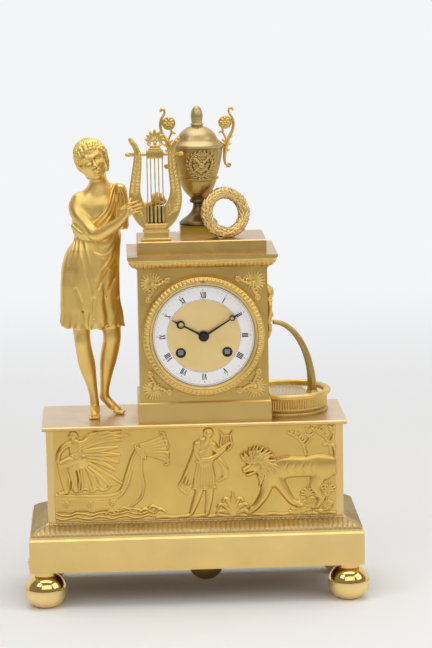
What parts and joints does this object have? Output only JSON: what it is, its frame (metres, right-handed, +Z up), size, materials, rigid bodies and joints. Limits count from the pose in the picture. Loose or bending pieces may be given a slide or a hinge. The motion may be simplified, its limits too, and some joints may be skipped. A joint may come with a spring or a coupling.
{
  "type": "mantel clock",
  "caption": "Gilt figural mantel clock on bun feet: relief base, pedestal with round dial and half-second pendulum, standing youth with a lyre, covered urn, wreath and fountain basin.",
  "frame": {"origin": "on the floor, under the middle of the base", "axes": "+Z up, +X to the right seen from the dial, +Y to the back"},
  "size_m": [0.3004, 0.1264, 0.4289],
  "materials": {
    "gilt": "matt fire gilding",
    "gilt_figure": "fire gilding, matt and burnished",
    "gilt_ornament": "chased fire gilding",
    "gilt_vessel": "burnished fire gilding",
    "gilt_polished": "polished",
    "gilt_dial": "engine turned, matt",
    "enamel": "glossy white enamel",
    "string": "drawn wire",
    "blued_steel": "dark blued steel",
    "steel": "polished steel",
    "dark_brass": "tarnished brass",
    "silk": "twisted silk",
    "brass": "satin brass"
  },
  "bodies": {
    "case": {"feet": "gilt_polished", "foot_nuts": "brass", "base_slab": "gilt", "base_moulding": "gilt", "frieze_box": "gilt", "frieze_relief": "gilt_ornament", "base_top_plate": "gilt", "pedestal_step": "gilt", "pedestal_case": "gilt", "cornice": "gilt", "crown_slab": "gilt", "corner_palmettes": "gilt_ornament", "side_mask": "gilt_figure", "water_jet": "gilt_vessel", "basin": "gilt_ornament", "basin_water": "gilt_vessel", "figure": "gilt_figure", "lyre_frame": "gilt_ornament", "lyre_yoke": "gilt_ornament", "lyre_strings": "string", "urn_foot": "gilt_vessel", "urn_body": "gilt_vessel", "urn_lid": "gilt_vessel", "urn_handles": "gilt_ornament", "wreath": "gilt_ornament", "bezel": "gilt_ornament", "dial_plate": "brass", "dial_ring": "enamel", "dial_centre": "gilt_dial", "movement_ring": "brass", "front_plate": "brass", "back_plate": "brass", "case_straps": "brass", "rear_ring": "brass", "suspension_cock": "brass", "silk_suspension": "silk", "bell": "brass"},
    "minute": {"minute_hand": "blued_steel", "hand_collet": "brass", "cannon_pinion": "brass", "centre_wheel": "brass"},
    "hour": {"hour_hand": "blued_steel", "hour_wheel": "brass"},
    "motion_wheel": {"minute_wheel": "brass"},
    "second": {"second_wheel": "brass"},
    "going_drum": {"going_barrel": "brass"},
    "going_winder": {"going_arbor": "steel"},
    "third": {"third_wheel": "brass"},
    "escape": {"escape_wheel": "brass"},
    "pallets": {"anchor": "steel"},
    "pendulum": {"pendulum_rod": "dark_brass", "pendulum_bob": "dark_brass"},
    "strike_drum": {"strike_barrel": "brass"},
    "strike_winder": {"strike_arbor": "steel"},
    "count": {"strike_second_wheel": "brass"},
    "pins": {"pin_wheel": "brass"},
    "air_brake": {"fly": "brass"},
    "striker": {"hammer": "steel"},
    "regulator": {"regulator_arbor": "steel"},
    "door": {"rear_door": "brass"}
  },
  "joints": [
    {"name": "minute_turn", "type": "hinge", "parent": "case", "child": "minute", "pos_m": [0.0095, -0.044, 0.2345], "axis": [0, 1, 0], "continuous": true},
    {"name": "hour_turn", "type": "hinge", "parent": "case", "child": "hour", "pos_m": [0.0095, -0.043, 0.2345], "axis": [0, 1, 0], "continuous": true},
    {"name": "motion_wheel_turn", "type": "hinge", "parent": "case", "child": "motion_wheel", "pos_m": [0.0095, -0.036, 0.2225], "axis": [0, 1, 0], "continuous": true},
    {"name": "second_wheel_turn", "type": "hinge", "parent": "case", "child": "second", "pos_m": [0.02411, -0.01, 0.23611], "axis": [0, 1, 0], "continuous": true},
    {"name": "going_barrel_turn", "type": "hinge", "parent": "case", "child": "going_drum", "pos_m": [0.0295, -0.017, 0.2202], "axis": [0, 1, 0], "continuous": true},
    {"name": "third_wheel_turn", "type": "hinge", "parent": "case", "child": "third", "pos_m": [0.00154, -0.01, 0.24585], "axis": [0, 1, 0], "continuous": true},
    {"name": "escape_wheel_turn", "type": "hinge", "parent": "case", "child": "escape", "pos_m": [0.0095, -0.01, 0.2565], "axis": [0, 1, 0], "continuous": true},
    {"name": "pendulum_swing", "type": "hinge", "parent": "case", "child": "pendulum", "pos_m": [0.0095, 0.008, 0.2686], "axis": [0, 1, 0], "range_deg": [-4, 4]},
    {"name": "anchor_swing", "type": "hinge", "parent": "case", "child": "pallets", "pos_m": [0.0095, 0, 0.2686], "axis": [0, 1, 0], "range_deg": [-4, 4]},
    {"name": "going_wind", "type": "hinge", "parent": "case", "child": "going_winder", "pos_m": [0.0295, -0.04, 0.2202], "axis": [0, 1, 0], "continuous": true},
    {"name": "strike_wind", "type": "hinge", "parent": "case", "child": "strike_winder", "pos_m": [-0.0105, -0.04, 0.2202], "axis": [0, 1, 0], "continuous": true},
    {"name": "pin_wheel_turn", "type": "hinge", "parent": "case", "child": "pins", "pos_m": [-0.01972, -0.02, 0.24766], "axis": [0, 1, 0], "continuous": true},
    {"name": "count_wheel_turn", "type": "hinge", "parent": "case", "child": "count", "pos_m": [-0.01342, -0.01, 0.23674], "axis": [0, 1, 0], "continuous": true},
    {"name": "strike_barrel_turn", "type": "hinge", "parent": "case", "child": "strike_drum", "pos_m": [-0.0105, -0.017, 0.2202], "axis": [0, 1, 0], "continuous": true},
    {"name": "fly_turn", "type": "hinge", "parent": "case", "child": "air_brake", "pos_m": [-0.01572, -0.015, 0.25458], "axis": [0, 1, 0], "continuous": true},
    {"name": "hammer_lift", "type": "hinge", "parent": "case", "child": "striker", "pos_m": [-0.02707, 0.016, 0.23555], "axis": [0, -1, 0], "range_deg": [0, 10], "stiffness_Nm_per_rad": 0.0002},
    {"name": "regulator_turn", "type": "hinge", "parent": "case", "child": "regulator", "pos_m": [0.0095, 0.008, 0.2822], "axis": [0, 1, 0], "range_deg": [-180, 180]},
    {"name": "rear_door_swing", "type": "hinge", "parent": "case", "child": "door", "pos_m": [-0.0359, 0.0385, 0.2345], "axis": [0, 0, 1], "range_deg": [0, 110]}
  ],
  "couplings": [
    {"joint": "hour_turn", "follows": "minute_turn", "ratio": 0.083333},
    {"joint": "motion_wheel_turn", "follows": "minute_turn", "ratio": -0.33333},
    {"joint": "second_wheel_turn", "follows": "minute_turn", "ratio": -0.16667},
    {"joint": "going_barrel_turn", "follows": "minute_turn", "ratio": 0.027778},
    {"joint": "third_wheel_turn", "follows": "minute_turn", "ratio": -10},
    {"joint": "escape_wheel_turn", "follows": "minute_turn", "ratio": 90},
    {"joint": "anchor_swing", "follows": "pendulum_swing", "ratio": 1},
    {"joint": "count_wheel_turn", "follows": "pin_wheel_turn", "ratio": -0.125},
    {"joint": "strike_barrel_turn", "follows": "pin_wheel_turn", "ratio": 0.020833},
    {"joint": "fly_turn", "follows": "pin_wheel_turn", "ratio": -5.7143}
  ]
}
